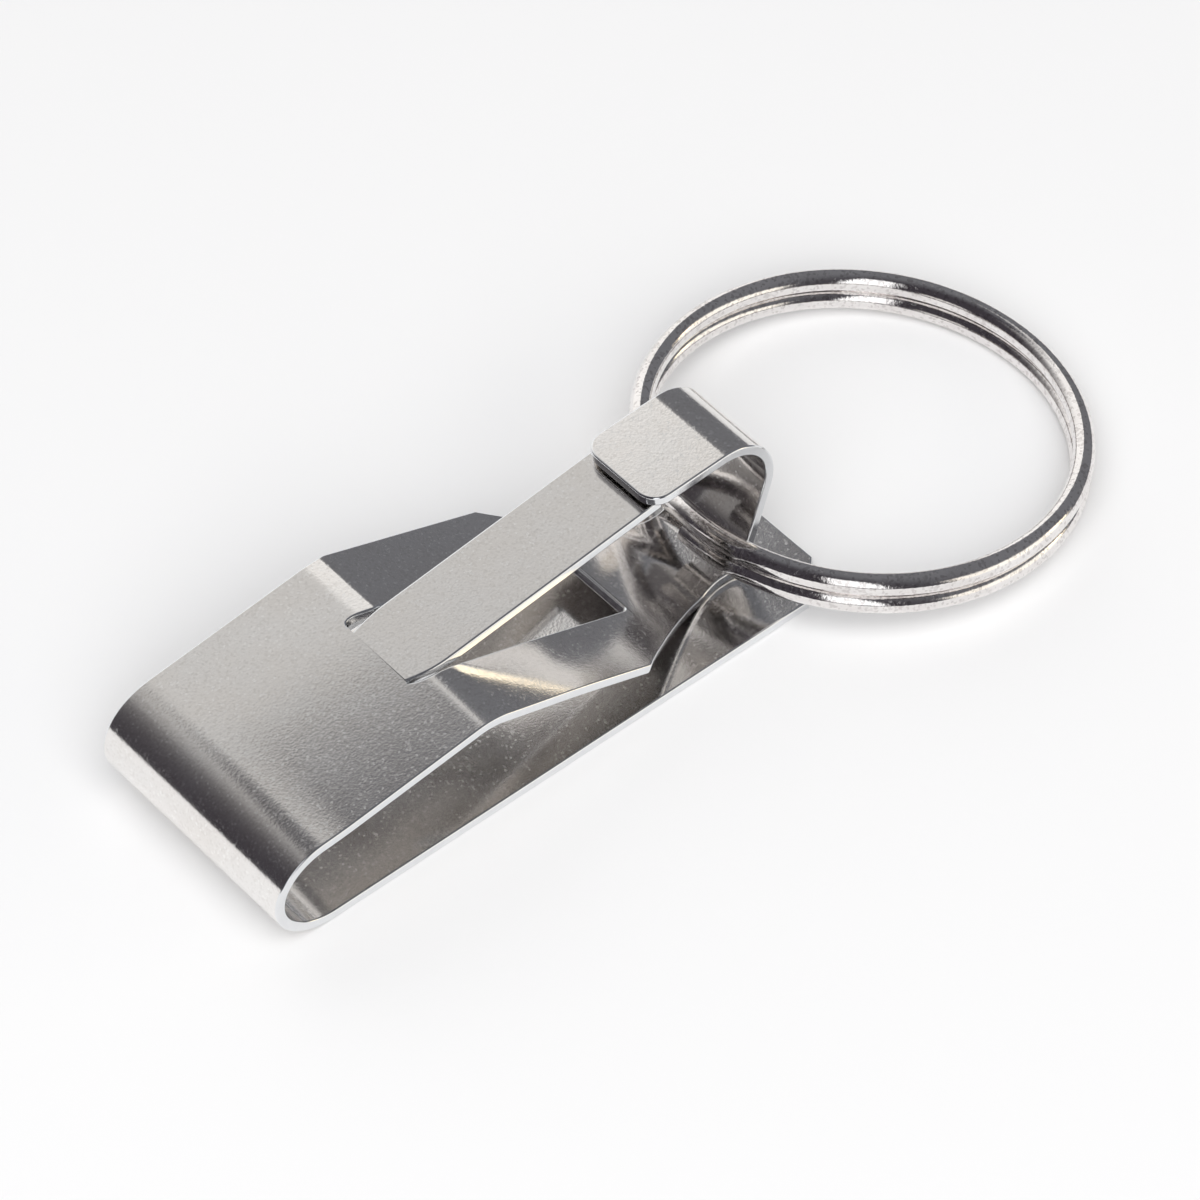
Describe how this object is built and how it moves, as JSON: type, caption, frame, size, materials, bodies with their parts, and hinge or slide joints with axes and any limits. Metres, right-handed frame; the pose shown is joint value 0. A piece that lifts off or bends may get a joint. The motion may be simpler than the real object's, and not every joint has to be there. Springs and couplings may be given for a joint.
{
  "type": "belt key clip",
  "caption": "Steel belt clip bent from one flat strip, with a belt slot, a spring gate and a hook that holds a split key ring.",
  "frame": {"origin": "middle of the back plate's flat underside, which lies against the wearer", "axes": "+X from the bow that goes over the belt towards the split ring, +Z out of the back plate towards the leaf, Y across the strip"},
  "size_m": [0.0764, 0.0334, 0.014],
  "materials": {
    "satin_steel": "satin, tumbled",
    "bright_steel": "bright nickel plate"
  },
  "bodies": {
    "clip_back": {"back_plate": "satin_steel", "spring_bow": "satin_steel"},
    "clip_front": {"front_plate": "satin_steel"},
    "gate": {"gate_tongue": "satin_steel"},
    "ring": {"split_ring": "bright_steel"}
  },
  "joints": [
    {"name": "jaw_flex", "type": "hinge", "parent": "clip_back", "child": "clip_front", "pos_m": [-0.02333, 0, 0.00806], "axis": [0, -1, 0], "range_deg": [0, 8], "stiffness_Nm_per_rad": 3.8},
    {"name": "gate_press", "type": "hinge", "parent": "clip_front", "child": "gate", "pos_m": [-0.01098, 0, 0.00951], "axis": [0, 1, 0], "range_deg": [0, 12], "stiffness_Nm_per_rad": 3},
    {"name": "ring_swing", "type": "hinge", "parent": "clip_front", "child": "ring", "pos_m": [0.01593, -0.0017, 0.00465], "axis": [0, -1, 0], "range_deg": [-17, 165]}
  ]
}
